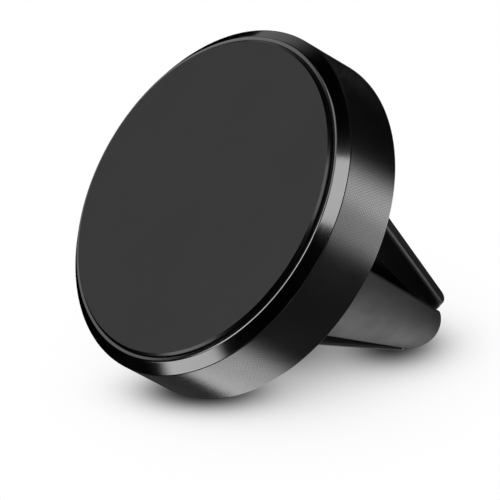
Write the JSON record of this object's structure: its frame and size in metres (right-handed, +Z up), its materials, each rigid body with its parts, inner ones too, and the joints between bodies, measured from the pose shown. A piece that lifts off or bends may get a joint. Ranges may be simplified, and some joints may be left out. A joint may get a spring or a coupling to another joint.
{
  "type": "car phone mount",
  "caption": "Round magnetic phone head on a friction swivel, with a vent clip of spring-leaf fingers that close to a narrow tip and grip a vent blade in crossed slots.",
  "frame": {"origin": "centre of the front face of the pad that the phone sits on", "axes": "+Y along the mount's axis from the phone to the vent, +Z up, +X to the driver's right; the two blade slots lie along X and along Z"},
  "size_m": [0.04, 0.0366, 0.04],
  "materials": {
    "anodised_shell": "black anodised aluminium, polished chamfer, fine diamond-textured wall",
    "pad_rubber": "smooth matte dark grey silicone",
    "adhesive": "translucent double-sided tape",
    "black_nylon": "black moulded nylon, fine spark texture",
    "nickel": "nickel-plated neodymium",
    "yoke_steel": "zinc-plated mild steel",
    "acetal": "natural acetal",
    "brass": "turned brass",
    "screw_steel": "black-zinc steel",
    "spring_steel": "tempered spring steel",
    "jaw_rubber": "satin black elastomer"
  },
  "bodies": {
    "clip": {"clip_hub": "black_nylon", "threaded_insert": "brass", "pivot_screw": "screw_steel", "flat_washer": "screw_steel", "disc_spring": "spring_steel", "friction_washer": "acetal", "leaf_retainer": "black_nylon", "retainer_screws": "screw_steel"},
    "head": {"head_shell": "anodised_shell", "phone_pad": "pad_rubber", "pad_adhesive": "adhesive", "magnet_tray": "black_nylon", "magnets": "nickel", "back_iron": "yoke_steel", "swivel_bush": "acetal"},
    "finger_upper_right": {"jaw_upper_right": "jaw_rubber", "leaf_upper_right": "spring_steel"},
    "finger_lower_right": {"jaw_lower_right": "jaw_rubber", "leaf_lower_right": "spring_steel"},
    "finger_lower_left": {"jaw_lower_left": "jaw_rubber", "leaf_lower_left": "spring_steel"},
    "finger_upper_left": {"jaw_upper_left": "jaw_rubber", "leaf_upper_left": "spring_steel"}
  },
  "joints": [
    {"name": "head_swivel", "type": "hinge", "parent": "clip", "child": "head", "pos_m": [0, 0.0071, 0], "axis": [0, 1, 0], "continuous": true},
    {"name": "finger_flex_upper_right", "type": "hinge", "parent": "clip", "child": "finger_upper_right", "pos_m": [0.00745, 0.01202, 0.00745], "axis": [0.7071, 0, -0.7071], "range_deg": [0, 4], "stiffness_Nm_per_rad": 1.5},
    {"name": "finger_flex_lower_right", "type": "hinge", "parent": "clip", "child": "finger_lower_right", "pos_m": [0.00745, 0.01202, -0.00745], "axis": [-0.7071, 0, -0.7071], "range_deg": [0, 4], "stiffness_Nm_per_rad": 1.5},
    {"name": "finger_flex_lower_left", "type": "hinge", "parent": "clip", "child": "finger_lower_left", "pos_m": [-0.00745, 0.01202, -0.00745], "axis": [-0.7071, 0, 0.7071], "range_deg": [0, 4], "stiffness_Nm_per_rad": 1.5},
    {"name": "finger_flex_upper_left", "type": "hinge", "parent": "clip", "child": "finger_upper_left", "pos_m": [-0.00745, 0.01202, 0.00745], "axis": [0.7071, 0, 0.7071], "range_deg": [0, 4], "stiffness_Nm_per_rad": 1.5}
  ]
}
